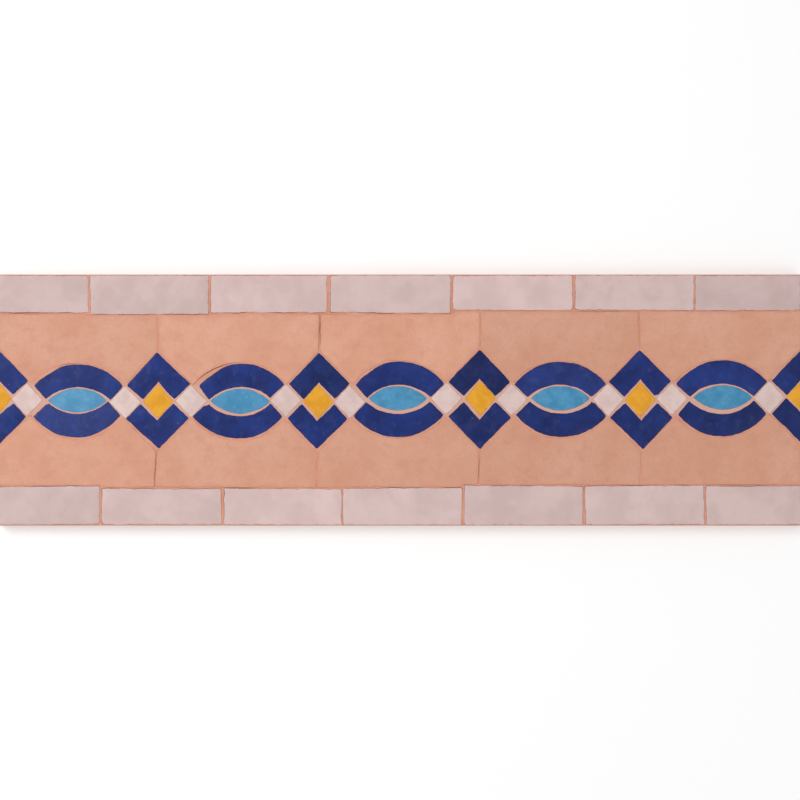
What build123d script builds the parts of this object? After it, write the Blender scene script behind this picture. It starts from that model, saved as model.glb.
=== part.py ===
from build123d import *

import os
from itertools import pairwise
from math import sqrt

# Moroccan cut-mosaic border panel: hand-cut glazed tiles and terracotta field tiles
# set in one mortar bed, between two rows of rectangular liner tiles.
# Millimetres. X runs along the border, Y across it, Z up through the tile faces.
# The origin is at the middle of the underside.

# Driving dimensions: the pattern
repeats = 5                  # pattern repeats in one panel
repeat_pitch = 200.0         # from one diamond's centre to the next
mosaic_joint = 1.5           # mortar joint between two cut pieces
square_side = 27.0           # white and yellow squares, which stand on their points
field_height = 216.0         # terracotta band, from liner joint to liner joint
eye_rise = 46.5              # top of an eye's outer outline above the centre line
arc_end = 24.5               # length of an arc's end, along the white square that it meets
lens_rise = 16.5             # top of an eye's opening above the centre line
lens_joint = 3.0             # wider joint around the lens

# Driving dimensions: the liner rows
liner_joint = 2.5            # mortar joint between two liner tiles
liner_length = 147.5
liner_height = 45.5
upper_liner_start = 112.5    # cut length of the first tile in the upper row
lower_liner_start = 127.5    # cut length of the first tile in the lower row

# Driving dimensions: the section
tile_thickness = 10.0
bed_thickness = 10.0         # mortar under the tiles' backs
grout_recess = 0.6           # mortar in the joints lies this far below the tile faces
chisel_angle = 8.0           # glazed pieces are chiselled back from the face, to give the mortar a key

# Worked out from the above
cell = square_side + mosaic_joint           # a square with its share of the joints
cell_reach = cell / sqrt(2)                 # centre of a cell to its corner, as it stands on its point
diamond_side = 3 * cell                     # a diamond is three cells by three
panel_length = repeats * repeat_pitch
liner_pitch = liner_length + liner_joint
liner_band = liner_height + liner_joint
panel_width = field_height + 2 * liner_band
face_level = bed_thickness + tile_thickness
mortar_level = face_level - grout_recess
white_offset = 2 * cell_reach               # diamond's centre to its white squares
eye_corner = repeat_pitch / 2 - 3 * cell_reach  # eye's centre to the corner of a white square
arc_corner = arc_end / sqrt(2)              # an arc's outer corner, from the white square's, in X and in Y

UPPER, LOWER = 1, -1


def diamond_x(number):
    return number * repeat_pitch - panel_length / 2


def eye_x(number):
    return diamond_x(number) + repeat_pitch / 2


def standing_square(x, side):
    """A square that stands on its point, centred on the border's centre line."""
    return Pos(x, 0) * Rot(0, 0, 45) * Rectangle(side, side)


def half_band(half):
    """The upper or lower half of the terracotta band, from end to end."""
    return Pos(0, half * field_height / 4) * Rectangle(panel_length, field_height / 2)


def eye_disc(x, rise, reach, height, half):
    """The disc whose rim bulges to the rise, above a point of it at the given reach and height."""
    bulge = rise - height
    radius = (reach**2 + bulge**2) / (2 * bulge)
    return Pos(x, half * (rise - radius)) * Circle(radius)


def outer_disc(number, half):
    """The disc that bounds an eye, through the outer corners of its arcs."""
    return eye_disc(eye_x(number), eye_rise, eye_corner + arc_corner, arc_corner, half)


def lens_disc(number, half):
    """The disc that bounds an eye's opening, through the corners of the two white squares."""
    return eye_disc(eye_x(number), lens_rise, eye_corner, 0, half)


def diamond(number):
    return standing_square(diamond_x(number), diamond_side)


def white_cell(number, side):
    return standing_square(diamond_x(number) + side * white_offset, cell)


def yellow_cell(number):
    whole = standing_square(diamond_x(number), cell)
    return whole & Rectangle(panel_length, field_height)


def chevron_cell(number, half):
    """Three cells of a diamond in an L: what the squares leave of it above or below."""
    squares = [standing_square(diamond_x(number), cell), white_cell(number, 1), white_cell(number, -1)]
    return (diamond(number) - squares) & half_band(half)


def arc_cell(number, half):
    """A curved bar over or under the lens, ending square against the two white squares."""
    outer = outer_disc(number, half) & half_band(half)
    return outer - [lens_disc(number, half), diamond(number), diamond(number + 1)]


def lens_cell(number):
    return lens_disc(number, UPPER) & lens_disc(number, LOWER)


def field_cell(number, half):
    """A terracotta tile from one diamond's point to the next, cut round the eye between them."""
    whole = Pos(eye_x(number), half * field_height / 4) * Rectangle(repeat_pitch, field_height / 2)
    return whole - [diamond(number), diamond(number + 1), outer_disc(number, half)]


def liner_cells(start, half):
    """One row of rectangular tiles: a cut tile, whole ones, and what is left at the far end."""
    y = half * (field_height + liner_band) / 2
    row_end = panel_length / 2
    narrowest = tile_thickness + liner_joint    # no tile is cut narrower than it is thick
    joints = [-row_end]
    next_joint = start + liner_joint - row_end
    while next_joint < row_end - narrowest:
        joints.append(next_joint)
        next_joint += liner_pitch
    joints.append(row_end)
    spans = pairwise(joints)
    return [Pos((left + right) / 2, y) * Rectangle(right - left, liner_band) for left, right in spans]


def moulded_tile(tile_cell, inset=mosaic_joint / 2):
    """A tile with square sides, inset from its cell."""
    outline = offset(tile_cell, amount=-inset, kind=Kind.INTERSECTION)
    return extrude(Pos(0, 0, bed_thickness) * outline, amount=tile_thickness)


def chiselled_tile(tile_cell, inset=mosaic_joint / 2):
    """A piece cut from a glazed tile, with its sides chiselled back under the face."""
    block = moulded_tile(tile_cell, inset)
    sides = block.faces().filter_by(Axis.Z, reverse=True)
    return draft(sides, Plane.XY.offset(face_level), -chisel_angle)


def border_tiles():
    """Every tile of the panel, by name."""
    tiles = {}
    for number in range(repeats):
        label = number + 1
        tiles[f"lens_{label}"] = chiselled_tile(lens_cell(number), lens_joint - mosaic_joint / 2)
        for name, half in (("upper", UPPER), ("lower", LOWER)):
            tiles[f"arc_{name}_{label}"] = chiselled_tile(arc_cell(number, half))
            tiles[f"field_tile_{name}_{label}"] = moulded_tile(field_cell(number, half))
        tiles[f"white_square_left_{label}"] = chiselled_tile(white_cell(number, 1))
        tiles[f"white_square_right_{label}"] = chiselled_tile(white_cell(number + 1, -1))
    for number in range(repeats + 1):
        label = number + 1
        tiles[f"yellow_square_{label}"] = chiselled_tile(yellow_cell(number))
        for name, half in (("upper", UPPER), ("lower", LOWER)):
            tiles[f"chevron_{name}_{label}"] = chiselled_tile(chevron_cell(number, half))
    return tiles


def liner_row(start, half):
    return Compound(children=[moulded_tile(liner, liner_joint / 2) for liner in liner_cells(start, half)])


def mortar_bed(tiles):
    """The mortar behind and between the tiles, cast in one piece."""
    on_floor = (Align.CENTER, Align.CENTER, Align.MIN)
    slab = Box(panel_length, panel_width, mortar_level, align=on_floor)
    return slab - [solid for piece in tiles for solid in piece.solids()]


pieces = border_tiles()
pieces["liner_row_upper"] = liner_row(upper_liner_start, UPPER)
pieces["liner_row_lower"] = liner_row(lower_liner_start, LOWER)
pieces["mortar_bed"] = mortar_bed(list(pieces.values()))

os.makedirs("parts", exist_ok=True)
for node, shape in pieces.items():
    export_step(shape, f"parts/{node}.step")
print(len(pieces), "pieces,", panel_length, "x", panel_width, "x", face_level, "mm")
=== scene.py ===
import math

import bmesh
import bpy
import numpy as np
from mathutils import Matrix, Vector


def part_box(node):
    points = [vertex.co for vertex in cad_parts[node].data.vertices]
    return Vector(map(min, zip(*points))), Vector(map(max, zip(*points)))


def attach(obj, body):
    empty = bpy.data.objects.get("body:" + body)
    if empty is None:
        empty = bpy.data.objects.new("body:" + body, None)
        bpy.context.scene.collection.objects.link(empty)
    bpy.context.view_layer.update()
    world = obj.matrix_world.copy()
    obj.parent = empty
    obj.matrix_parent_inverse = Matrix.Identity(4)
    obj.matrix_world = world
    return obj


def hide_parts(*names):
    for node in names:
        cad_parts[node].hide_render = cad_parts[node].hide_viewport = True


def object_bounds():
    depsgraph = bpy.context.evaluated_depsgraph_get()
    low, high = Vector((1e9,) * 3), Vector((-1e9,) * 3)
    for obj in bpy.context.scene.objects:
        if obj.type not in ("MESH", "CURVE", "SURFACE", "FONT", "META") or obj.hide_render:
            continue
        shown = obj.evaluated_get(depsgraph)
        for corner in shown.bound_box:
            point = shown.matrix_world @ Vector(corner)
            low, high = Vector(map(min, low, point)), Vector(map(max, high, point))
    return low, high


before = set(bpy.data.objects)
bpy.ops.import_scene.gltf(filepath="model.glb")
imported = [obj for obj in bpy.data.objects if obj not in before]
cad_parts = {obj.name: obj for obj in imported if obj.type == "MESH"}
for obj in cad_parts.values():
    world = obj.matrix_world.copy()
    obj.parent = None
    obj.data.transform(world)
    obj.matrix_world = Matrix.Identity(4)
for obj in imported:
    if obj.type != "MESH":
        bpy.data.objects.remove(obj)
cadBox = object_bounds()
print("frame loaded:", len(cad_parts), "nodes")

# Everything below is worked out in millimetres and turned into metres when a mesh is made
mm = 0.001


def nodeBox(node):
    # lowest and highest corner of a node
    return np.array([list(corner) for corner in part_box(node)]) / mm


def nodeMiddle(node):
    # half way between those corners
    return nodeBox(node).mean(axis=0)


# The pattern, read off the frame
repeats = sum(name.startswith("lens_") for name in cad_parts)
panelLow, panelHigh = np.array([list(corner) for corner in cadBox]) / mm
faceLevel = panelHigh[2]
backLevel = nodeBox("lens_1")[0][2]                      # the tiles' backs
mortarLevel = nodeBox("mortar_bed")[1][2]                # the mortar in the joints
pitch = nodeMiddle("lens_2")[0] - nodeMiddle("lens_1")[0]
cellReach = (nodeMiddle("white_square_left_2")[0] - nodeMiddle("yellow_square_2")[0]) / 2
squareReach = np.ptp(nodeBox("yellow_square_2")[:, 0]) / 2
mosaicJoint = (cellReach - squareReach) * math.sqrt(2)
fieldEdge = nodeBox("field_tile_upper_1")[1][1] + mosaicJoint / 2
linerJoint = 2 * (panelHigh[1] - nodeBox("liner_row_upper")[1][1])
eyeRise = nodeBox("arc_upper_1")[1][1] + mosaicJoint / 2
eyeCorner = pitch / 2 - 3 * cellReach                    # an eye's centre to the corner of a white square

# What the boxes don't give, as in the solids
eye = {"lensRise": 16.5, "lensJoint": 3.0, "arcEnd": 24.5}
chiselSlope = math.tan(math.radians(8))      # the glazed pieces' sides run back 8 degrees under the face

# How far the hand-laid work strays from the drawn pattern
handWork = {
    "diamondDrift": {"upper": [(0, 4), (0.5, -0.5), (0.5, -1), (0, 2.5), (-1, 2.5), (1, 4)],
                     "lower": [(0, 2.5), (-1, -2.5), (-1.5, -3), (0, -0.5), (1, -2), (1, 5)]},
    "eyeDrift": {"upper": [(2, -2), (4, -1), (-1, 1.5), (-1, 1), (1, 3)],
                 "lower": [(-1.5, -1), (1.5, -2), (-1, 0.5), (1, 0), (1.5, 1)]},
    "lensDrift": [(0.5, -0.5), (3, -1.5), (-1.5, 2.5), (0.5, 2.5), (2, 3.5)],
    "yellowDrift": [(0, 2.5), (0.5, -1), (-0.3, -1.3), (1, 2.2), (-0.5, 0.5), (0, 3.5)],
    "whiteDrift": {"left": [(-2.5, 0.5), (1, -1.5), (-2, -2.5), (-0.5, 0.5), (-1.5, 1)],
                   "right": [(0, -3), (-0.5, -0.5), (-1, 2), (0, 1), (0, 3)]},
    "driftFrom": 72.0,      # full drift up to this far from the centre line
    "driftTo": 105.0,       # and none past this
    "seamDrift": {"upper": (0, -2.3, -0.4, -1, 2.7, 2.7, 2.7),
                  "lower": (1.3, -0.8, -1.2, -0.6, 2.5, 2.5, 2.5)},
    "seamEase": 3.0,        # half the way over which the seam steps from one liner tile to the next
    "linerJointDrift": {"upper": (0, -0.5, -2.5, 0, 1.5, 2), "lower": (-1, 0.5, -0.5, 0, 0, 0.5)},
    "linerJointSpread": {"upper": (0, 1, 2.5, 0.5, 0.5, 0), "lower": (0.5, 2, 0.5, 0.5, 0.5, 0)},
    "fieldJointDrift": {"upper": (0, 0, 1.7, 0.7, -2.7, 0), "lower": (0, -4.5, -2.5, -1.5, -0.5, 0)},
    # corners cut out of place
    "cutShort": {"arc_upper_2": {1: (-2.2, 2.1), 2: (-1.6, 2), 3: (5, 0.5)}, "arc_upper_3": {3: (2, 0)},
                 "arc_lower_1": {0: (3.5, 3.2), 3: (3, 3.5)}, "arc_lower_5": {1: (-0.6, 0.6), 2: (-1.4, 1.7)},
                 "chevron_upper_1": {1: (0, 2), 2: (-0.5, 2)}, "chevron_lower_1": {1: (1, 4), 2: (-2, 2)},
                 "chevron_upper_2": {4: (-1.5, 0)}, "chevron_lower_2": {4: (2, -2.5)},
                 "chevron_lower_3": {1: (-0.5, -0.5), 2: (1, 1), 3: (-2, 1.5), 4: (-1, -2.5)},
                 "chevron_lower_5": {4: (2, -1)}, "yellow_square_6": {0: (0, 4), 1: (-0.5, 0.8), 2: (0, -1)},
                 "field_tile_upper_2": {2: (0, 1.5)}},
    "squareRise": {"yellow": 2.2, "white": 0.9},      # squares cut taller than wide
    "notchRise": 1.6,                                 # and the chevrons' notches to match
    "chevronRise": 0.8,                               # chevrons taller than drawn
    "armShort": 0.5,                                  # with their arms cut short of the white squares
    "eyeRise": 0.5,                                   # eyes taller than drawn
    "lensRise": 0.6,                                  # with their lenses
    "arcStretch": 1.6,                                # and longer ends to their arcs
    # corners broken off
    "knockedOff": {"arc_lower_1": {0: 2.0}, "arc_lower_2": {0: 3.0}, "arc_lower_4": {1: 2.0},
                   "chevron_upper_5": {2: 2.5}},
    # outer curves cut flatter towards their right and left ends
    "flankCut": {"arc_upper_1": {2: (0.8, 3.4)}, "arc_upper_2": {2: (0, 4.4)}, "arc_upper_3": {2: (0, 2.2)},
                 "arc_upper_4": {2: (0, 1.2)}, "arc_upper_5": {2: (0.5, 1.6)}, "arc_lower_1": {2: (1.6, 0)},
                 "arc_lower_2": {2: (1.3, 0)}, "arc_lower_3": {2: (1.2, 1.5)}, "arc_lower_4": {2: (0, 0.9)},
                 "arc_lower_5": {2: (0, 2.0)}},
    "flankFrom": 0.15,      # full cut up to this share of the curve from its end
    "flankTo": 0.4,         # and none past this
    "pieceShift": 0.25,     # each piece's own shift, at most
    "pieceTurn": 0.35,      # and its turn, in degrees
    "turnLength": 60.0,     # pieces longer than this turn less
    "linerOverreach": 0.3,  # the rows' outer edges are laid nearly flush with the panel's
    "skin": 0.6,            # mortar left round the panel's edge
    "skinEase": 0.25,       # and how softly a tile stops there
    "cornerStray": 0.3,     # how far a corner is cut off its mark
    "cornerWear": 0.7,      # how much of a corner is worn away
    "wearRange": (0.2, 1.3),        # from the least worn corner to the most, as shares of that
    "wearReach": 3.0,       # how far from a corner the wear shows
    "wearSpread": 2.2,      # or this many times its depth, where that is more
    "cutWaves": [(24.0, 0.16), (8.0, 0.09), (3.0, 0.04)],    # length and depth of the uneven cut
    "seed": 7,              # what is added to a seed further down only keeps the draws apart
}
halves = (("upper", 1), ("lower", -1))


def swell(x, y, length, seed, waves=9, spread=(0.65, 1.5)):
    # the sum of plane waves in random directions, with lengths spread round the given one, about -2 to 2
    dice = np.random.default_rng(seed)
    heading = dice.uniform(0, 2 * np.pi, waves)
    number = 2 * np.pi / (length * dice.uniform(*spread, waves))
    phase = dice.uniform(0, 2 * np.pi, waves)
    along = np.multiply.outer(x, number * np.cos(heading)) + np.multiply.outer(y, number * np.sin(heading))
    return np.sin(along + phase).sum(axis=-1) / math.sqrt(waves / 2)


def smooth(share):
    # eased from 0 to 1: three squares less two cubes
    share = np.clip(share, 0, 1)
    return share * share * (3 - 2 * share)


def motifDrift(name):
    # diamonds and eyes by turns along the border
    drift = np.zeros((2 * repeats + 1, 2))
    drift[0::2] = handWork["diamondDrift"][name]
    drift[1::2] = handWork["eyeDrift"][name]
    return drift


sideDrift = {half: motifDrift(name) for name, half in halves}


def linerJoints(name):
    # the ends of a row's tiles are where its node has points at face level; the joints between them drift
    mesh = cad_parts[f"liner_row_{name}"].data
    points = np.empty(3 * len(mesh.vertices))
    mesh.vertices.foreach_get("co", points)
    points = points.reshape(-1, 3) / mm
    atFace = points[:, 2] > (faceLevel + mortarLevel) / 2
    ends = np.unique(np.round(points[atFace, 0], 1))
    middles = (ends[1:-1:2] + ends[2::2]) / 2 + handWork["linerJointDrift"][name]
    return np.concatenate([[panelLow[0]], middles, [panelHigh[0]]])


def seamLine(x, name):
    # how far the seam along a liner row lies off its line: each tile's own drift, eased from one to the next
    # over a short way before or after their joint, clear of the tile that juts out
    joints = linerJoints(name)[1:-1]
    drift = handWork["seamDrift"][name]
    middles = joints + handWork["seamEase"] * dict(halves)[name] * np.sign(np.diff(drift))
    knots = np.stack([middles - handWork["seamEase"], middles + handWork["seamEase"]], axis=1).ravel()
    return np.interp(x, knots, np.repeat(drift, 2)[1:-1])


def strayed(points, half):
    # drift eases from each motif to the next along the border,
    # and gives way to the seam's towards a liner row
    x, y = points[..., 0], points[..., 1]
    spot = np.clip((x - panelLow[0]) / (pitch / 2), 0, 2 * repeats - 1e-6)
    first = spot.astype(int)
    share = smooth(spot - first)[..., None]
    drift = sideDrift[half][first] * (1 - share) + sideDrift[half][first + 1] * share
    fade = smooth((handWork["driftTo"] - abs(y)) / (handWork["driftTo"] - handWork["driftFrom"]))[..., None]
    seam = np.where(y > 0, seamLine(x, "upper"), seamLine(x, "lower")) * (abs(y) < fieldEdge)
    return points + drift * fade + np.stack([0 * x, seam], axis=-1) * (1 - fade)


# Outlines: corners in order round a tile, against the clock, and the centres of its curved sides

def tileShape(origin, corners, layout, side=1, half=0, centres=None, inset=mosaicJoint / 2, drift=(0, 0)):
    # layout counts the sides along the lower edge, on the right, along the upper edge and on the left;
    # a tile on the centre line or in a liner row is shifted whole,
    # and one of the upper or lower half strays with its neighbours
    return {"origin": np.array(origin), "corners": np.array(corners, float), "layout": layout,
            "flip": np.array((side, half or 1)), "half": half, "centres": centres or {}, "inset": inset,
            "drift": np.array(drift), "knockedOff": {}, "flanks": {}}


def diamondX(number):
    # one diamond to a repeat, from the panel's left end
    return panelLow[0] + (number - 1) * pitch


def eyeX(number):
    # half way to the next diamond
    return diamondX(number) + pitch / 2


def discDrop(rise, reach, height):
    # how far a disc's centre lies below the line, for a rim that rises to the rise above a point of it
    bulge = rise - height
    return (reach**2 + bulge**2) / (2 * bulge) - rise


arcCorner = (eye["arcEnd"] + handWork["arcStretch"]) / math.sqrt(2)
lensDrop = discDrop(eye["lensRise"] + handWork["lensRise"], eyeCorner, 0)
openingDrop = discDrop(eye["lensRise"], eyeCorner, 0)
eyeDrop = discDrop(eyeRise + handWork["eyeRise"], eyeCorner + arcCorner, arcCorner)


def lensShape(number):
    # two arcs between its tips, each round a centre on the other's side
    corners = [(-eyeCorner, 0), (eyeCorner, 0)]
    return tileShape((eyeX(number), 0), corners, (1, 0, 1, 0), centres={0: (0, lensDrop), 1: (0, -lensDrop)},
                     inset=eye["lensJoint"] - mosaicJoint / 2, drift=handWork["lensDrift"][number - 1])


def arcShape(number, half):
    # the curve of the lens's opening and the eye's own, with ends along the white squares
    outer = eyeCorner + arcCorner
    corners = [(-eyeCorner, 0), (eyeCorner, 0), (outer, arcCorner), (-outer, arcCorner)]
    return tileShape((eyeX(number), 0), corners, (1, 1, 1, 1), half=half,
                     centres={0: (0, -openingDrop), 2: (0, -eyeDrop)})


def squareCorners(name):
    # on its point, and a little taller than wide
    tall = cellReach + handWork["squareRise"][name]
    return [(0, -tall), (cellReach, 0), (0, tall), (-cellReach, 0)]


def whiteShape(number, name):
    # beside an eye, against its corner
    x = eyeX(number) + (eyeCorner + cellReach) * {"left": -1, "right": 1}[name]
    drift = handWork["whiteDrift"][name][number - 1]
    return tileShape((x, 0), squareCorners("white"), (1, 1, 1, 1), drift=drift)


def yellowShape(number, side):
    # a square, or at the panel's ends the half of one
    corners = squareCorners("yellow")
    place = {"origin": (diamondX(number), 0), "drift": handWork["yellowDrift"][number - 1]}
    if side == 0:
        return tileShape(corners=corners, layout=(1, 1, 1, 1), **place)
    return tileShape(corners=corners[:3], layout=(1, 0, 1, 1), side=side, **place)


def chevronShape(number, half, side):
    # an L on its corner, or at the panel's ends one arm of it
    r, back = cellReach, handWork["armShort"] / math.sqrt(2)
    notch, apex = r + handWork["notchRise"], 3 * r + handWork["chevronRise"]
    arm = [(0, notch), (r - back, back), (2 * r - back, r + back), (0, apex)]
    place = {"origin": (diamondX(number), 0), "half": half}
    if side:
        return tileShape(corners=arm, layout=(1, 1, 1, 1), side=side, **place)
    corners = [(back - r, back), *arm, (back - 2 * r, r + back)]
    return tileShape(corners=corners, layout=(2, 1, 2, 1), **place)


def fieldShape(number, name, half):
    # the joints at its two ends lean from the diamonds' points
    outer, apex = eyeCorner + arcCorner, 3 * cellReach + handWork["chevronRise"]
    lean = handWork["fieldJointDrift"][name][number - 1:number + 1]
    corners = [(-pitch / 2, apex), (-outer, arcCorner), (outer, arcCorner), (pitch / 2, apex),
               (pitch / 2 + lean[1], fieldEdge), (-pitch / 2 + lean[0], fieldEdge)]
    return tileShape((eyeX(number), 0), corners, (3, 1, 1, 1), half=half, centres={1: (0, -eyeDrop)})


def linerShapes(name, half):
    # from joint to joint, and from the seam, where it lies at each tile, to the panel's edge
    joints = linerJoints(name)
    spread = np.array([0, *handWork["linerJointSpread"][name], 0]) / 2
    starts, ends = (joints + spread)[:-1], (joints - spread)[1:]
    edge = half * (panelHigh[1] + handWork["linerOverreach"])
    shapes = []
    for left, right, drift in zip(starts, ends, handWork["seamDrift"][name]):
        seam = half * fieldEdge + drift
        y = (seam + edge) / 2
        wide, high = (right - left) / 2, abs(edge - seam) / 2
        corners = [(-wide, -high), (wide, -high), (wide, high), (-wide, high)]
        shapes.append(tileShape(((left + right) / 2, y), corners, (1, 1, 1, 1), inset=linerJoint / 2))
    return shapes


# From an outline to a mesh

arrisSteps = (0.0, 0.18, 0.45, 0.85)       # finer steps beside an edge
settleSteps = 12                           # plenty for a corner to settle
sharpAngle = math.radians(50)              # edges that turn more than this stay sharp
weldReach = 1e-6                           # points nearer than this are merged, in metres
leastEdge = 1e-7                           # and shorter edges dissolved


def insetCorners(shape, inset):
    # each side moves inwards by the inset, and a corner to where its two sides then meet, found step by step
    corners = shape["corners"]
    count = len(corners)
    along = np.roll(corners, -1, axis=0) - corners
    along = along / np.linalg.norm(along, axis=1, keepdims=True)
    inward = np.stack([-along[:, 1], along[:, 0]], axis=1)
    curved = np.array([side in shape["centres"] for side in range(count)])
    hub = np.array([shape["centres"].get(side, (0, 0)) for side in range(count)], float)
    radius = np.linalg.norm(corners - hub, axis=1)
    facing = np.sign(((hub - corners) * inward).sum(axis=1))

    def depthIn(points, side):
        # how far points lie inside their side, and the direction in which that grows
        spoke = points - hub[side]
        reach = np.linalg.norm(spoke, axis=1)
        straightDepth = ((points - corners[side]) * inward[side]).sum(axis=1)
        depth = np.where(curved[side], facing[side] * (radius[side] - reach), straightDepth)
        growth = np.where(curved[side, None], -facing[side, None] * spoke / reach[:, None], inward[side])
        return depth, growth

    here = np.arange(count)
    points = corners + 1e-6
    for step in range(settleSteps):
        depthBefore, growthBefore = depthIn(points, here - 1)
        depthHere, growthHere = depthIn(points, here)
        missing = inset - np.stack([depthBefore, depthHere], axis=1)
        slope = np.stack([growthBefore, growthHere], axis=1)
        points = points + np.linalg.solve(slope, missing[..., None])[..., 0]
    return points


def sideSteps(length, spacing, fineStart, fineEnd):
    # shares of a side's length: even steps of about the spacing, with the finer ones at its ends
    fine = np.array(arrisSteps)
    first = fine if fineStart else np.zeros(1)
    last = length - (fine[::-1] if fineEnd else np.zeros(1))
    middle = np.linspace(first[-1], last[0], max(2, round((last[0] - first[-1]) / spacing)) + 1)
    return np.concatenate([first[:-1], middle, last[1:]]) / length


def sideRun(start, end, hub, shares, flanks):
    # straight from one corner to another, or round the side's centre, less the cut towards each end
    if hub is None:
        return start + (end - start) * shares[:, None]
    turn = [math.atan2(*(point - hub)[::-1]) for point in (start, end)]
    sweep = (turn[1] - turn[0] + math.pi) % (2 * math.pi) - math.pi
    angle = turn[0] + sweep * shares
    ease = handWork["flankTo"] - handWork["flankFrom"]
    nearStart, nearEnd = smooth((handWork["flankTo"] - np.stack([shares, 1 - shares])) / ease)
    reach = np.linalg.norm(start - hub) - flanks[0] * nearStart - flanks[1] * nearEnd
    return hub + reach[:, None] * np.stack([np.cos(angle), np.sin(angle)], axis=1)


def planSteps(shape, spacing):
    # the steps along the lower edge, side by side, and across from the lower edge to the upper
    corners = shape["corners"]
    ahead = np.roll(corners, -1, axis=0)
    lower = shape["layout"][0]
    lengths = np.linalg.norm(ahead - corners, axis=1)
    alongSteps = [sideSteps(lengths[side], spacing, side == 0, side == lower - 1) for side in range(lower)]
    area = abs(np.sum(corners[:, 0] * ahead[:, 1] - corners[:, 1] * ahead[:, 0])) / 2
    width = max(area / lengths[:lower].sum(), eye["lensRise"] * 2)
    return alongSteps, sideSteps(width, spacing, True, True)


def tileGrid(shape, plan, inset):
    # straight lines across, from each point of the lower edge to its fellow on the upper edge
    alongSteps, across = plan
    lower, right, upper = shape["layout"][:3]
    corners = insetCorners(shape, inset)
    count = len(corners)

    def run(side, shares, backwards):
        # one side's points, from its start or from its end
        hub = shape["centres"].get(side)
        flanks = shape["flanks"].get(side, (0, 0))
        ends = corners[side], corners[(side + 1) % count]
        if backwards:
            ends, flanks = ends[::-1], flanks[::-1]
        return sideRun(*ends, None if hub is None else np.array(hub), shares, flanks)

    low = np.concatenate([run(side, alongSteps[side], False)[1 if side else 0:] for side in range(lower)])
    upperSides = range(lower + right + upper - 1, lower + right - 1, -1)
    if upper == lower:
        high = np.concatenate([run(side, alongSteps[number], True)[1 if number else 0:]
                               for number, side in enumerate(upperSides)])
    else:
        lengths = np.linalg.norm(np.diff(low, axis=0), axis=1)
        shares = np.concatenate([[0], np.cumsum(lengths)]) / lengths.sum()
        high = run(upperSides[0], shares, True)
    grid = low[:, None] + (high - low)[:, None] * across[None, :, None]
    grid = grid * shape["flip"] + shape["origin"]
    return grid[::-1] if shape["flip"].prod() < 0 else grid


def rim(grid):
    # the grid's outer points, once round against the clock
    return np.concatenate([grid[:, 0], grid[-1, 1:], grid[-2::-1, -1], grid[0, -2:0:-1]])


def edgeDistance(points, loop, batch=1500):
    # distance from each point to the nearest stretch of the closed outline, a batch of points at a time
    stretch = np.roll(loop, -1, axis=0) - loop
    square = np.maximum((stretch**2).sum(axis=1), 1e-9)
    distance = np.empty(len(points))
    for start in range(0, len(points), batch):
        some = slice(start, start + batch)
        reach = points[some, None] - loop
        share = np.clip((reach * stretch).sum(axis=2) / square, 0, 1)
        distance[some] = np.linalg.norm(reach - share[..., None] * stretch, axis=2).min(axis=1)
    return distance


# What all faces share
faceWork = {"leastLippage": 0.05, "leastPit": 0.5, "arrisLength": 14, "arrisSwing": 0.45,
            "arrisLimits": (0.4, 2.4), "chipLength": 9}


def faceHeight(points, distance, finish, seed):
    # the face: a slight tilt and waves, domed down towards the rim, with pits, a rounded arris and chips
    x, y = points[:, 0], points[:, 1]
    dice = np.random.default_rng(seed)
    middle = points.mean(axis=0)
    height = -dice.uniform(faceWork["leastLippage"], 1) * finish["lippage"]
    tilt = dice.uniform(-1, 1, 2) * finish["tilt"] / max(np.ptp(x), np.ptp(y))
    height = height + (points - middle) @ tilt
    for number, (length, depth) in enumerate(finish["waves"]):
        height += depth * swell(x, y, length, seed + 11 * number)
    height -= finish["dome"] * np.exp(-distance / finish["domeReach"])
    pitX, pitY = dice.uniform(points.min(axis=0), points.max(axis=0), (finish["pits"], 2)).T
    pitSize = dice.uniform(faceWork["leastPit"], 1.0, finish["pits"]) * finish["pitSize"]
    near = np.exp(-((x[:, None] - pitX)**2 + (y[:, None] - pitY)**2) / pitSize**2)
    height -= (near * pitSize * finish["pitDepth"]).sum(axis=1)
    uneven = 1 + faceWork["arrisSwing"] * swell(x, y, faceWork["arrisLength"], seed + 5)
    arris = finish["arris"] * np.clip(uneven, *faceWork["arrisLimits"])
    short = np.clip(arris - distance, 0, None)
    height -= arris - np.sqrt(arris**2 - short**2)
    bite = np.clip(swell(x, y, faceWork["chipLength"], seed + 6) - finish["chipFrom"], 0, 1)
    height -= bite * finish["chipDepth"] * np.exp(-(distance / finish["chipReach"])**2)
    return np.minimum(faceLevel + height, faceLevel)


def wornCorners(points, corners, wear, middle):
    # points near a corner move towards the tile's middle, most at the corner itself
    for corner, depth in zip(corners, wear):
        reach = max(handWork["wearReach"], handWork["wearSpread"] * depth)
        near = smooth(1 - np.linalg.norm(points - corner, axis=-1) / reach)
        points = points + near[..., None] * depth * (middle - corner) / np.linalg.norm(middle - corner)
    return points


def handCut(points, shape, seed, middle, rough):
    # the pattern's drift or its own, then the piece's slight shift and turn, then the uneven cut
    dice = np.random.default_rng(seed)
    share = handWork["turnLength"] / max(handWork["turnLength"], np.ptp(points[..., 0]))
    turn = math.radians(dice.uniform(-1, 1) * handWork["pieceTurn"]) * share
    shift = dice.uniform(-1, 1, 2) * handWork["pieceShift"]
    moved = (strayed(points, shape["half"]) if shape["half"] else points + shape["drift"]) - middle
    moved = np.stack([moved[..., 0] - turn * moved[..., 1], moved[..., 1] + turn * moved[..., 0]], axis=-1)
    moved = moved + middle + shift
    for number, (length, depth) in enumerate(handWork["cutWaves"]):
        waves = [swell(points[..., 0], points[..., 1], length, seed + 31 * number + axis) for axis in (1, 2)]
        moved = moved + rough * depth * np.stack(waves, axis=-1)
    return moved


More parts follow.
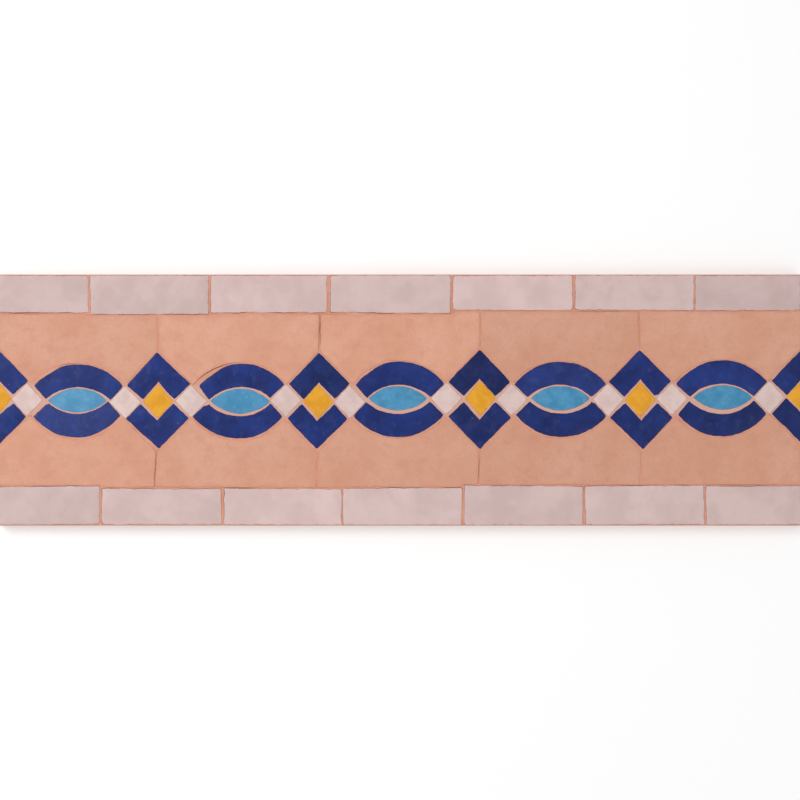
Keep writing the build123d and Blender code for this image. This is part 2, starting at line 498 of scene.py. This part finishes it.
def keptInside(points):
    # eased to a stop inside the panel's edge:
    # the limit less the log of one plus the exponential of what is left to it
    low, high, ease = panelLow[:2] + handWork["skin"], panelHigh[:2] - handWork["skin"], handWork["skinEase"]
    points = high - ease * np.logaddexp(0, (high - points) / ease)
    return low + ease * np.logaddexp(0, (points - low) / ease)


def closedTile(shape, finish, seed):
    # the face's grid, the sides from its rim down to the foot, which is inset by their slope, and the back
    stray = np.random.default_rng(seed).normal(0, handWork["cornerStray"], shape["corners"].shape)
    shape = {**shape, "corners": shape["corners"] + stray * finish["cornerFree"]}
    plan = planSteps(shape, finish["spacing"])
    inset = shape["inset"] - finish["tight"]
    nominal = tileGrid(shape, plan, inset)
    middle = nominal.mean(axis=(0, 1))
    corners = insetCorners(shape, inset)
    for side, depths in shape["flanks"].items():
        ends = slice(side, side + 2)
        spokes = corners[ends] - shape["centres"][side]
        corners[ends] -= np.array(depths)[:, None] * spokes / np.linalg.norm(spokes, axis=1, keepdims=True)
    corners = corners * shape["flip"] + shape["origin"]
    wearShare = np.random.default_rng(seed + 3).uniform(*handWork["wearRange"], len(corners))
    wear = handWork["cornerWear"] * wearShare
    for corner, depth in shape["knockedOff"].items():
        wear[corner] = depth

    def cut(points):
        # where wear and the hand leave the points
        worn = wornCorners(points, corners, wear, middle)
        return keptInside(handCut(worn, shape, seed, middle, finish["rough"]))

    grid = cut(nominal)
    along, across = grid.shape[:2]
    points = grid.reshape(-1, 2)
    loop = rim(grid)
    distance = edgeDistance(points, loop)
    height = faceHeight(points, distance, finish, seed)
    index = np.arange(along * across).reshape(along, across)
    quads = np.stack([index[:-1, :-1], index[1:, :-1], index[1:, 1:], index[:-1, 1:]], axis=-1).reshape(-1, 4)
    foot = rim(cut(tileGrid(shape, plan, inset + (faceLevel - backLevel) * finish["slope"])))
    above = rim(index[..., None])[:, 0]
    below = len(points) + np.arange(len(loop))
    walls = np.stack([above, below, np.roll(below, -1), np.roll(above, -1)], axis=-1)
    vertices = [np.column_stack([points, height]), np.column_stack([foot, np.full(len(foot), backLevel)])]
    return {"vertices": np.concatenate(vertices), "faces": np.concatenate([quads, walls]),
            "back": below[::-1], "edge": np.concatenate([distance, np.zeros(len(loop))]),
            "rim": loop, "foot": foot}


def meshFrom(name, vertices, faces, attributes):
    # one mesh from arrays, in metres, with its poles merged and sharp edges kept sharp
    mesh = bpy.data.meshes.new(name)
    mesh.from_pydata(vertices * mm, [], faces)
    for label, values in attributes.items():
        layer = mesh.attributes.new(label, "FLOAT", "POINT")
        layer.data.foreach_set("value", np.asarray(values, np.float32))
    work = bmesh.new()
    work.from_mesh(mesh)
    bmesh.ops.remove_doubles(work, verts=work.verts, dist=weldReach)
    bmesh.ops.dissolve_degenerate(work, edges=work.edges, dist=leastEdge)
    work.to_mesh(mesh)
    work.free()
    mesh.shade_smooth()
    mesh.set_sharp_from_angle(angle=sharpAngle)
    piece = bpy.data.objects.new(name, mesh)
    bpy.context.scene.collection.objects.link(piece)
    return piece


pockets = []        # the rim and foot of every tile, which the mortar is cut to


def layPiece(node, shapes, finish, tones, extra, name=None):
    # one piece of one or more tiles, which stands for its node; the extra keeps its seed apart
    seed = finish["seed"] + extra
    vertices, faces, edge, tone = [], [], [], []
    start = 0
    for corner, short in handWork["cutShort"].get(node, {}).items():
        shapes[0]["corners"][corner] += short
    shapes[0]["knockedOff"] = handWork["knockedOff"].get(node, {})
    shapes[0]["flanks"] = handWork["flankCut"].get(node, {})
    for number, shape in enumerate(shapes):
        made = closedTile(shape, finish, seed + 101 * number)
        pockets.append({"rim": made["rim"], "foot": made["foot"], "seed": seed + number,
                        "crack": finish["crack"], "seamGap": finish["seamGap"]})
        vertices.append(made["vertices"])
        faces += (made["faces"] + start).tolist()
        faces.append((made["back"] + start).tolist())
        edge.append(made["edge"])
        tone.append(np.full(len(made["edge"]), tones[number]))
        start += len(made["vertices"])
    attributes = {"edge": np.concatenate(edge), "tone": np.concatenate(tone)}
    piece = meshFrom(name or f"tile_{node}", np.concatenate(vertices), faces, attributes)
    piece.data.materials.append(finish["material"])
    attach(piece, "root")
    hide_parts(node)


# Finishes

def paint(red, green, blue):
    # a colour as it shows on a screen, 0 to 255, as the light that the shader works in
    share = np.array([red, green, blue]) / 255
    light = np.where(share <= 0.04045, share / 12.92, ((share + 0.055) / 1.055)**2.4)
    return (*light.tolist(), 1.0)


def addNode(tree, kind, sockets=None, **settings):
    # a shader node: its settings, then a value or a link for each socket
    made = tree.nodes.new("ShaderNode" + kind)
    for name, value in settings.items():
        setattr(made, name, value)
    for socket, value in (sockets or {}).items():
        if isinstance(value, bpy.types.NodeSocket):
            tree.links.new(value, made.inputs[socket])
        else:
            made.inputs[socket].default_value = value
    return made


def attribute(tree, name):
    # a value that the mesh carries at its points
    return addNode(tree, "Attribute", attribute_name=name).outputs["Fac"]


def arithmetic(tree, operation, first, second):
    # two values added, multiplied or the like
    return addNode(tree, "Math", {0: first, 1: second}, operation=operation).outputs[0]


def between(tree, value, low, high, start=0.0, end=1.0):
    # eased from start to end as the value goes from low to high
    sockets = {0: value, 1: low, 2: high, 3: start, 4: end}
    return addNode(tree, "MapRange", sockets, interpolation_type="SMOOTHSTEP").outputs[0]


def blend(tree, factor, first, second, mode="MIX"):
    # from the first colour to the second by the factor
    sockets = {0: factor, 6: first, 7: second}
    return addNode(tree, "Mix", sockets, data_type="RGBA", blend_type=mode).outputs[2]


def toneTimes(tree, factor, extra):
    # the tile's tone times the factor, plus the extra
    sockets = {0: attribute(tree, "tone"), 1: factor, 2: extra}
    return addNode(tree, "Math", sockets, operation="MULTIPLY_ADD").outputs[0]


noiseApart = {"clouds": 37.0, "specks": 53.0}        # how far apart in the noise two tones lie


def clouds(tree, size, detail=3.0, stretch=(1, 1, 1), layer=0.0, roughness=0.55):
    # noise with lumps of about the given size; each tile's tone picks another stretch of it
    place = addNode(tree, "TexCoord").outputs["Object"]
    scaled = addNode(tree, "Mapping", {"Vector": place, "Scale": stretch}).outputs[0]
    own = toneTimes(tree, noiseApart["clouds"], layer)
    sockets = {"Vector": scaled, "W": own, "Scale": 1 / (size * mm), "Detail": detail, "Roughness": roughness}
    return addNode(tree, "TexNoise", sockets, noise_dimensions="4D").outputs["Fac"]


def specks(tree, spacing, size, layer=0.0):
    # dots of about the given size, one to a cell of the given spacing at most
    place = addNode(tree, "TexCoord").outputs["Object"]
    own = toneTimes(tree, noiseApart["specks"], layer)
    sockets = {"Vector": place, "W": own, "Scale": 1 / (spacing * mm)}
    cells = addNode(tree, "TexVoronoi", sockets, voronoi_dimensions="4D")
    reach = size / spacing
    return between(tree, cells.outputs["Distance"], reach / 2, reach, 1.0, 0.0)


def toned(tree, colour, spread):
    # the colour times one plus a share of the tile's tone
    shade = toneTimes(tree, spread, 1.0)
    grey = addNode(tree, "CombineColor", {0: shade, 1: shade, 2: shade}).outputs[0]
    return blend(tree, 1.0, colour, grey, "MULTIPLY")


def startMaterial(name):
    # a material with an empty tree of nodes
    material = bpy.data.materials.new(name)
    material.use_nodes = True
    tree = material.node_tree
    tree.nodes.clear()
    return material, tree


def finishMaterial(tree, colour, roughness, height, bumpDepth, specular):
    # the shader, with its relief in millimetres
    bump = addNode(tree, "Bump", {"Height": height, "Distance": bumpDepth * mm, "Strength": 1.0})
    sockets = {"Base Color": colour, "Roughness": roughness, "Normal": bump.outputs[0],
               "Specular IOR Level": specular}
    shader = addNode(tree, "BsdfPrincipled", sockets)
    addNode(tree, "OutputMaterial", {"Surface": shader.outputs[0]})


biscuit = paint(205, 140, 112)        # the fired clay under a glaze
milk = paint(205, 205, 215)           # what clouds a paler glaze
haze = paint(226, 176, 156)           # a film of mortar left on the faces


# What all glazes share: sizes and spacings in millimetres, the rest as shares
glazeWork = {"thinSize": 0.3, "filmSize": 16, "pinholeSpacing": 7.0, "pinholeSize": 0.45,
             "pinholeShade": 0.35, "pinholeDepth": 0.6, "dustSpacing": 9.0, "dustSize": 0.8,
             "wearSize": 5.0, "leastWear": 0.02, "wornRoughness": 0.9, "glossSize": 10,
             "rippleSize": 4.5, "specular": 0.28}


def glazeMaterial(name, look):
    # a glaze that pools and thins over clay, dusted with mortar, and worn to the clay along its edges
    material, tree = startMaterial(name)
    edge = attribute(tree, "edge")
    pools = between(tree, clouds(tree, look["poolSize"]), 0.35, 0.65)
    colour = blend(tree, pools, look["deep"], look["main"])
    thin = clouds(tree, look["poolSize"] * glazeWork["thinSize"], 4.0, layer=5.0)
    thin = between(tree, thin, 0.5, 0.72, 0.0, look["thinning"])
    colour = blend(tree, thin, colour, look["thin"])
    colour = toned(tree, colour, look["toneSpread"])
    cloudy = between(tree, attribute(tree, "tone"), 0.0, 1.0, 0.0, look["milk"])
    colour = blend(tree, cloudy, colour, milk)
    film = between(tree, clouds(tree, glazeWork["filmSize"], 5.0, layer=9.0), 0.5, 0.85, 0.0, look["film"])
    colour = blend(tree, film, colour, haze)
    pinholes = specks(tree, glazeWork["pinholeSpacing"], glazeWork["pinholeSize"])
    holes = arithmetic(tree, "MULTIPLY", pinholes, glazeWork["pinholeShade"])
    colour = blend(tree, holes, colour, look["pit"])
    dust = specks(tree, glazeWork["dustSpacing"], glazeWork["dustSize"], 4.0)
    colour = blend(tree, arithmetic(tree, "MULTIPLY", dust, look["dust"]), colour, haze)
    wornTo = clouds(tree, glazeWork["wearSize"], 4.0, layer=3.0)
    wornTo = between(tree, wornTo, 0.35, 0.8, glazeWork["leastWear"], look["chipWidth"])
    worn = between(tree, arithmetic(tree, "SUBTRACT", edge, wornTo), -0.08, 0.12, 1.0, 0.0)
    colour = blend(tree, worn, colour, biscuit)
    gloss = between(tree, clouds(tree, glazeWork["glossSize"], 3.0, layer=2.0), 0.3, 0.7, *look["gloss"])
    roughness = addNode(tree, "Mix", {0: worn, 2: gloss, 3: glazeWork["wornRoughness"]}).outputs[0]
    ripple = clouds(tree, glazeWork["rippleSize"], 2.0, layer=7.0)
    dents = arithmetic(tree, "MULTIPLY", pinholes, glazeWork["pinholeDepth"])
    relief = arithmetic(tree, "SUBTRACT", ripple, dents)
    finishMaterial(tree, colour, roughness, relief, look["ripple"], glazeWork["specular"])
    return material


navyLook = {"deep": paint(14, 36, 102), "main": paint(22, 48, 122), "thin": paint(54, 72, 134),
            "pit": paint(16, 24, 60), "poolSize": 26, "thinning": 0.4, "toneSpread": 0.26, "milk": 0.03,
            "film": 0.025, "dust": 0.4, "chipWidth": 0.28, "gloss": (0.30, 0.46), "ripple": 0.10}
skyLook = {"deep": paint(66, 139, 181), "main": paint(83, 153, 195), "thin": paint(108, 170, 202),
           "pit": paint(46, 96, 134), "poolSize": 18, "thinning": 0.45, "toneSpread": 0.06, "milk": 0.05,
           "film": 0.05, "dust": 0.2, "chipWidth": 0.35, "gloss": (0.28, 0.42), "ripple": 0.12}
yellowLook = {"deep": paint(229, 158, 33), "main": paint(241, 172, 47), "thin": paint(247, 189, 78),
              "pit": paint(176, 104, 30), "poolSize": 14, "thinning": 0.4, "toneSpread": 0.04, "milk": 0.02,
              "film": 0.04, "dust": 0.15, "chipWidth": 0.3, "gloss": (0.30, 0.45), "ripple": 0.10}
whiteLook = {"deep": paint(220, 193, 187), "main": paint(231, 206, 201), "thin": paint(232, 200, 190),
             "pit": paint(178, 140, 128), "poolSize": 15, "thinning": 0.35, "toneSpread": 0.02, "milk": 0.0,
             "film": 0.12, "dust": 0.2, "chipWidth": 0.6, "gloss": (0.34, 0.5), "ripple": 0.12}
linerLook = {"deep": paint(212, 186, 182), "main": paint(223, 197, 194), "thin": paint(218, 188, 184),
             "pit": paint(176, 146, 138), "poolSize": 34, "thinning": 0.5, "toneSpread": 0.1, "milk": 0.0,
             "film": 0.12, "dust": 0.3, "chipWidth": 0.5, "gloss": (0.34, 0.52), "ripple": 0.16}

clayLook = {"light": paint(228, 172, 147), "main": paint(220, 160, 133), "dark": paint(203, 143, 117),
            "speck": paint(150, 98, 82), "rub": paint(221, 156, 131), "toneSpread": 0.06,
            "cloudSize": 60, "mottleSize": 13, "mottle": 0.5, "dragSize": 9, "dragStretch": (0.16, 1, 1),
            "drag": 0.4, "dragDepth": 1.5, "grainSize": 1.6, "grain": 0.4, "speckSpacing": 32.0,
            "speckSize": 1.3, "speckShade": 0.55, "speckDepth": 1.2, "rubSize": 12, "rubReach": (0.4, 6.0),
            "rubShade": 0.75, "roughness": (0.62, 0.8), "relief": 0.22, "specular": 0.25}


def clayMaterial(name, look):
    # bare fired clay: broad clouds, finer mottling, drag marks from the mould, dark grains,
    # and mortar rubbed in at the rim
    material, tree = startMaterial(name)
    edge = attribute(tree, "edge")
    broad = between(tree, clouds(tree, look["cloudSize"], 2.0), 0.3, 0.7)
    colour = blend(tree, broad, look["main"], look["light"])
    mottle = between(tree, clouds(tree, look["mottleSize"], 6.0, layer=4.0), 0.4, 0.8, 0.0, look["mottle"])
    colour = blend(tree, mottle, colour, look["dark"])
    drag = clouds(tree, look["dragSize"], 4.0, look["dragStretch"], 8.0)
    colour = blend(tree, between(tree, drag, 0.5, 0.8, 0.0, look["drag"]), colour, look["light"])
    grain = clouds(tree, look["grainSize"], 5.0, layer=6.0)
    colour = blend(tree, between(tree, grain, 0.35, 0.75, 0.0, look["grain"]), colour, look["dark"])
    colour = toned(tree, colour, look["toneSpread"])
    dots = specks(tree, look["speckSpacing"], look["speckSize"])
    colour = blend(tree, arithmetic(tree, "MULTIPLY", dots, look["speckShade"]), colour, look["speck"])
    reach = between(tree, clouds(tree, look["rubSize"], 4.0, layer=12.0), 0.3, 0.75, *look["rubReach"])
    rubbed = between(tree, arithmetic(tree, "SUBTRACT", edge, reach), -2.0, 1.0, look["rubShade"], 0.0)
    colour = blend(tree, rubbed, colour, look["rub"])
    relief = arithmetic(tree, "ADD", grain, arithmetic(tree, "MULTIPLY", drag, look["dragDepth"]))
    relief = arithmetic(tree, "SUBTRACT", relief, arithmetic(tree, "MULTIPLY", dots, look["speckDepth"]))
    roughness = between(tree, drag, 0.3, 0.7, *look["roughness"])
    finishMaterial(tree, colour, roughness, relief, look["relief"], look["specular"])
    return material


mortarLook = {"light": paint(226, 166, 143), "main": paint(218, 151, 126), "dark": paint(200, 131, 107),
              "sand": paint(234, 188, 166), "pale": paint(222, 177, 161), "paleFrom": 13.0,
              "paleTo": 26.0, "paleShade": 0.7, "cloudSize": 24, "blotchSize": 7, "blotchShade": 0.6,
              "sandSize": 1.1, "sandShade": 0.5, "darkSandShade": 0.35,
              "roughness": 0.9, "relief": 0.35, "specular": 0.2}


def mortarMaterial(name, look):
    # tinted mortar: soft clouds with pale and dark sand grains, washed paler along the centre line
    material, tree = startMaterial(name)
    soft = between(tree, clouds(tree, look["cloudSize"], 4.0), 0.35, 0.7)
    colour = blend(tree, soft, look["main"], look["light"])
    blotches = clouds(tree, look["blotchSize"], 5.0, layer=3.0)
    colour = blend(tree, between(tree, blotches, 0.5, 0.8, 0.0, look["blotchShade"]), colour, look["dark"])
    place = addNode(tree, "SeparateXYZ", {0: addNode(tree, "TexCoord").outputs["Object"]}).outputs["Y"]
    aside = addNode(tree, "Math", {0: place}, operation="ABSOLUTE").outputs[0]
    washed = between(tree, aside, look["paleFrom"] * mm, look["paleTo"] * mm, look["paleShade"], 0.0)
    colour = blend(tree, washed, colour, look["pale"])
    sand = clouds(tree, look["sandSize"], 2.0, layer=6.0)
    colour = blend(tree, between(tree, sand, 0.6, 0.75, 0.0, look["sandShade"]), colour, look["sand"])
    colour = blend(tree, between(tree, sand, 0.42, 0.3, 0.0, look["darkSandShade"]), colour, look["dark"])
    finishMaterial(tree, colour, look["roughness"], sand, look["relief"], look["specular"])
    return material


navyGlaze = glazeMaterial("navyGlaze", navyLook)
skyBlueGlaze = glazeMaterial("skyBlueGlaze", skyLook)
yellowGlaze = glazeMaterial("yellowGlaze", yellowLook)
whiteGlaze = glazeMaterial("whiteGlaze", whiteLook)
linerGlaze = glazeMaterial("linerGlaze", linerLook)
bareClay = clayMaterial("terracotta", clayLook)
tintedMortar = mortarMaterial("tintedMortar", mortarLook)
print("materials made")

# The glazed pieces of the pattern

dice = np.random.default_rng(handWork["seed"])


def someTones(count):
    # shades from -1 to 1, one to a tile
    return dice.uniform(-1, 1, count)


lens = {"slot": "sky_blue_glaze", "material": skyBlueGlaze, "seed": 1000, "spacing": 1.0, "lippage": 0.25,
        "tilt": 0.15, "waves": [(20, 0.05), (6, 0.015)], "dome": 0.25, "domeReach": 4.0, "pits": 4,
        "pitSize": 0.9, "pitDepth": 0.12, "arris": 0.4, "chipFrom": 1.1, "chipDepth": 0.4, "chipReach": 1.0,
        "crack": 0.3, "seamGap": 0.0, "cornerFree": 1.0, "tight": 0.3, "rough": 1.0, "slope": chiselSlope,
        "tones": (0.9, 0.3, 0.0, 0.0, -0.4)}
arc = {**lens, "slot": "navy_glaze", "material": navyGlaze, "seed": 2000, "spacing": 1.1,
       "waves": [(26, 0.06), (7, 0.015)], "pits": 8, "cornerFree": 1.6, "tight": 0.0,
       "tones": {"upper": (0.4, 0.1, 0.1, 0.4, 0.2), "lower": (0.8, 0.2, 0.0, -0.5, -0.7)}}
chevron = {**arc, "seed": 5000, "pits": 6, "cornerFree": 1.0,
           "tones": {"upper": (0.2, 0.2, -0.9, -1.3, -0.3, -0.3),
                     "lower": (0.2, 0.3, -0.1, -0.7, -0.5, -0.7)}}
whiteSquare = {**lens, "slot": "white_glaze", "material": whiteGlaze, "seed": 3000,
               "waves": [(14, 0.04), (5, 0.012)], "pits": 2, "tight": 0.25}
yellowSquare = {**whiteSquare, "slot": "yellow_glaze", "material": yellowGlaze, "seed": 4000}

for number in range(1, repeats + 1):
    layPiece(f"lens_{number}", [lensShape(number)], lens, lens["tones"][number - 1:], number)
    for name, half in halves:
        layPiece(f"arc_{name}_{number}", [arcShape(number, half)], arc, arc["tones"][name][number - 1:],
                 10 * number + half)
    for name in ("left", "right"):
        layPiece(f"white_square_{name}_{number}", [whiteShape(number, name)], whiteSquare, someTones(1),
                 10 * number + len(name))       # the words' lengths keep left and right apart
print("lenses, arcs and white squares laid")

for number in range(1, repeats + 2):
    side = {1: 1, repeats + 1: -1}.get(number, 0)       # the end diamonds are halves
    layPiece(f"yellow_square_{number}", [yellowShape(number, side)], yellowSquare, someTones(1), number)
    for name, half in halves:
        layPiece(f"chevron_{name}_{number}", [chevronShape(number, half, side)], chevron,
                 chevron["tones"][name][number - 1:], 10 * number + half)
print("diamonds laid")

# The terracotta field

fieldTile = {"slot": "terracotta", "material": bareClay, "seed": 6000, "spacing": 1.5, "lippage": 0.2,
             "tilt": 0.2, "waves": [(70, 0.08), (22, 0.04), (6, 0.012)], "dome": 0.12, "domeReach": 3.0,
             "pits": 26, "pitSize": 1.3, "pitDepth": 0.22, "arris": 0.3, "chipFrom": 1.4, "chipDepth": 0.4,
             "chipReach": 1.6, "crack": 1.0, "seamGap": 0.0, "cornerFree": 0.5, "tight": 0.0, "rough": 1.2,
             "slope": 0.0,
             "tones": {"upper": (-0.1, 0.8, 1.2, -0.3, 0.3), "lower": (0.5, 0.2, 0.0, -0.3, -0.1)}}

for number in range(1, repeats + 1):
    for name, half in halves:
        layPiece(f"field_tile_{name}_{number}", [fieldShape(number, name, half)], fieldTile,
                 fieldTile["tones"][name][number - 1:], 10 * number + half, f"tile_field_{name}_{number}")
print("field laid")

# The two rows of rectangular tiles

liner = {"slot": "liner_glaze", "material": linerGlaze, "seed": 7000, "spacing": 1.4, "lippage": 0.35,
         "tilt": 0.35, "waves": [(48, 0.10), (16, 0.04), (5, 0.012)], "dome": 0.35, "domeReach": 4.0,
         "pits": 14, "pitSize": 1.1, "pitDepth": 0.2, "arris": 0.6, "chipFrom": 0.9, "chipDepth": 0.7,
         "chipReach": 1.5, "crack": 1.0, "seamGap": 0.55, "cornerFree": 1.2, "tight": 0.2, "rough": 1.4,
         "slope": 0.0,
         "tones": {"upper": (-0.7, -0.6, 0.1, -0.15, 0.5, 0.0, -0.75),
                   "lower": (-0.65, 0.0, 0.65, 0.3, -0.1, 0.2, -0.1)}}

for name, half in halves:
    layPiece(f"liner_row_{name}", linerShapes(name, half), liner, liner["tones"][name], 100 * half,
             f"tiles_liner_row_{name}")
print("liner rows laid")

# The mortar bed

mortarBed = {"step": 1.7, "backStep": 20.0, "sideSteps": 8, "fill": 0.28, "brim": 0.52, "seed": 81,
             "waves": [(55, 0.14), (9, 0.05)], "grain": 0.03,
             "sideWaves": [(30, 0.12), (6, 0.05)], "sideStretch": 4, "sideInset": 0.35,
             "backWaves": [(60, 0.10), (14, 0.04)], "seamDip": 0.7, "seamWidth": 2.5, "seamReach": 4.0,
             # how open the gap along the seams is, and how that varies
             "gapShare": 0.6, "gapSwing": 0.5, "gapLength": 40, "crackDepth": 1.8, "cutAbove": 4.0,
             # the place, reach and width of each crack
             "cracks": [(-236, 42, 26, 0.9), (-98, 86, 20, 0.6), (-303, -85, 24, 0.4), (-452, -14, 10, 0.6),
                        (-465, 108, 36, 0.5), (318, -22, 10, 0.5), (-412, 48, 10, 0.5), (250, 110, 34, 0.4),
                        (-200, -108, 26, 0.4), (100, -85, 20, 0.3), (420, -108, 30, 0.4)]}


def tubeFaces(index):
    # rings of points, each joined to the next, with a cap at either end
    ahead = np.roll(index, -1, axis=1)
    sides = np.stack([index[:-1], index[1:], ahead[1:], ahead[:-1]], axis=-1).reshape(-1, 4)
    return [*sides.tolist(), index[0].tolist(), index[-1, ::-1].tolist()]


def mortarSlab():
    # the section, carried along the panel: over the top, down one side, underneath and up the other
    x = np.linspace(panelLow[0], panelHigh[0], round((panelHigh[0] - panelLow[0]) / mortarBed["step"]) + 1)
    width = panelHigh[1]
    top = np.linspace(-width, width, round(2 * width / mortarBed["step"]) + 1)
    under = np.linspace(width, -width, round(2 * width / mortarBed["backStep"]) + 1)
    down = np.linspace(mortarLevel, 0, mortarBed["sideSteps"] + 1)[1:-1]
    y = np.concatenate([top, np.full(len(down), width), under, np.full(len(down), -width)])
    z = np.concatenate([np.full(len(top), mortarLevel), down, np.zeros(len(under)), down[::-1]])
    gridX, gridY = np.meshgrid(x, y, indexing="ij")
    gridZ = np.broadcast_to(z, gridX.shape).copy()
    isTop = np.arange(len(y)) < len(top)
    isSide = (gridZ > 0) & ~isTop
    isUnder = ~isTop & ~isSide
    rough = np.random.default_rng(handWork["seed"]).normal(0, mortarBed["grain"], gridX.shape)
    seed = mortarBed["seed"]
    lift = sum(depth * swell(gridX, gridY, length, seed) for length, depth in mortarBed["waves"]) + rough
    lift = np.minimum(lift + mortarBed["fill"], mortarBed["brim"])      # the joints are filled nearly flush
    seamY = np.where(gridY > 0, fieldEdge + seamLine(gridX, "upper"), seamLine(gridX, "lower") - fieldEdge)
    lift -= mortarBed["seamDip"] * np.exp(-((gridY - seamY) / mortarBed["seamWidth"])**2)
    hollow = sum(depth * abs(swell(gridX, gridY, length, seed + 1))
                 for length, depth in mortarBed["backWaves"])
    upright = gridZ * mortarBed["sideStretch"]
    bulge = sum(depth * swell(gridX, upright, length, seed + 2) for length, depth in mortarBed["sideWaves"])
    gridY = gridY - np.sign(gridY) * np.where(isSide, np.clip(mortarBed["sideInset"] + bulge, 0, None), 0)
    gridZ = gridZ + np.where(isTop, lift, 0) + np.where(isUnder, hollow, 0)
    vertices = np.stack([gridX, gridY, gridZ], axis=-1).reshape(-1, 3)
    faces = tubeFaces(np.arange(gridX.size).reshape(gridX.shape))
    return meshFrom("mortar_joints_and_bed", vertices, faces, {"tone": np.zeros(len(vertices))})


def pocketCutter():
    # every tile's sides again, raised clear of the mortar,
    # and opened a little near the cracks and along the seams
    vertices, faces = [], []
    start = 0
    for pocket in pockets:
        top = pocket["rim"]
        along = np.roll(top, -1, axis=0) - np.roll(top, 1, axis=0)
        outward = np.stack([along[:, 1], -along[:, 0]], axis=1)
        outward = outward / np.maximum(np.linalg.norm(outward, axis=1, keepdims=True), 1e-6)
        bySeam = np.exp(-((abs(top[:, 1]) - fieldEdge) / mortarBed["seamReach"])**2)
        byTurns = swell(top[:, 0], top[:, 1], mortarBed["gapLength"], pocket["seed"])
        opening = np.clip(mortarBed["gapShare"] + mortarBed["gapSwing"] * byTurns, 0, 1)
        gap = pocket["seamGap"] * bySeam * opening
        for x, y, reach, width in mortarBed["cracks"]:
            gap = np.maximum(gap, width * np.exp(-(((top - (x, y)) / reach)**2).sum(axis=1)))
        opened = top + outward * (pocket["crack"] * gap)[:, None]
        levels = ((opened, faceLevel + mortarBed["cutAbove"]), (opened, faceLevel - mortarBed["crackDepth"]),
                  (pocket["foot"], backLevel))
        rings = [np.column_stack([loop, np.full(len(top), level)]) for loop, level in levels]
        index = start + np.arange(len(rings) * len(top)).reshape(len(rings), len(top))
        faces += tubeFaces(index)
        vertices += rings
        start += index.size
    return meshFrom("pocketCutter", np.concatenate(vertices), faces, {})


def cutPockets(bed, cutter):
    # the bed less the cutter, as a mesh of its own
    carve = bed.modifiers.new("pockets", "BOOLEAN")
    carve.operation = "DIFFERENCE"
    carve.solver = "MANIFOLD"
    carve.object = cutter
    seen = bed.evaluated_get(bpy.context.evaluated_depsgraph_get())
    carved = bpy.data.meshes.new_from_object(seen)
    bed.modifiers.clear()
    bed.data = carved
    bpy.data.objects.remove(cutter)
    carved.set_sharp_from_angle(angle=sharpAngle)


bed = mortarSlab()
cutPockets(bed, pocketCutter())
bed.data.materials.clear()
bed.data.materials.append(tintedMortar)
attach(bed, "root")
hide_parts("mortar_bed")
print("mortar cast:", len(bed.data.polygons), "faces")

# Floor, light and camera

studio = {"floorSide": 40.0, "floorColour": 0.8, "floorGlow": 0.3, "worldStrength": 0.54,
          # the place, size and power of each lamp
          "lamps": {"keyLamp": ((-2.0, 0.9, 2.2), 1.6, 43.0), "fillLamp": ((1.6, -1.2, 2.4), 2.0, 11.0)}}


def makeFloor():
    # a flat white square; what the camera sees of it glows a little, and still takes the shadow
    half = studio["floorSide"] / 2
    mesh = bpy.data.meshes.new("floor")
    corners = [(-half, -half, 0), (half, -half, 0), (half, half, 0), (-half, half, 0)]
    mesh.from_pydata(corners, [], [(0, 1, 2, 3)])
    floor = bpy.data.objects.new("floor", mesh)
    bpy.context.scene.collection.objects.link(floor)
    material, tree = startMaterial("floorPaint")
    shade = studio["floorColour"]
    matt = addNode(tree, "BsdfDiffuse", {"Color": (shade, shade, shade, 1)})
    ray = addNode(tree, "LightPath").outputs
    seen = arithmetic(tree, "MAXIMUM", ray["Is Camera Ray"], ray["Is Glossy Ray"])
    seen = arithmetic(tree, "MAXIMUM", seen, ray["Is Transmission Ray"])
    glow = addNode(tree, "Emission", {"Strength": arithmetic(tree, "MULTIPLY", seen, studio["floorGlow"])})
    both = addNode(tree, "AddShader", {0: matt.outputs[0], 1: glow.outputs[0]})
    addNode(tree, "OutputMaterial", {"Surface": both.outputs[0]})
    mesh.materials.append(material)


def makeLamp(name, place, size, power):
    # a square soft box that faces the panel
    lamp = bpy.data.lights.new(name, "AREA")
    lamp.size = size
    lamp.energy = power
    holder = bpy.data.objects.new(name, lamp)
    holder.location = place
    holder.rotation_euler = (-holder.location).to_track_quat("-Z", "Y").to_euler()
    bpy.context.scene.collection.objects.link(holder)


makeFloor()
for name, lamp in studio["lamps"].items():
    makeLamp(name, *lamp)
world = bpy.data.worlds.new("studioWorld")
world.use_nodes = True
backdrop = world.node_tree.nodes["Background"].inputs
backdrop["Color"].default_value = (1, 1, 1, 1)
backdrop["Strength"].default_value = studio["worldStrength"]
bpy.context.scene.world = world

# The camera looks straight down; a pixel's size and the picture's middle are in millimetres
view = {"pixels": 800, "pixelSize": 1.2422, "middle": (1.0, 0.1), "lens": 100.0}
photoWidth = view["pixels"] * view["pixelSize"] * mm
camera = bpy.data.objects.new("camera", bpy.data.cameras.new("camera"))
camera.data.lens = view["lens"]
away = photoWidth * view["lens"] / camera.data.sensor_width
camera.location = (view["middle"][0] * mm, view["middle"][1] * mm, faceLevel * mm + away)
bpy.context.scene.collection.objects.link(camera)
bpy.context.scene.camera = camera
bpy.context.scene.view_settings.view_transform = "Standard"
print("studio set")
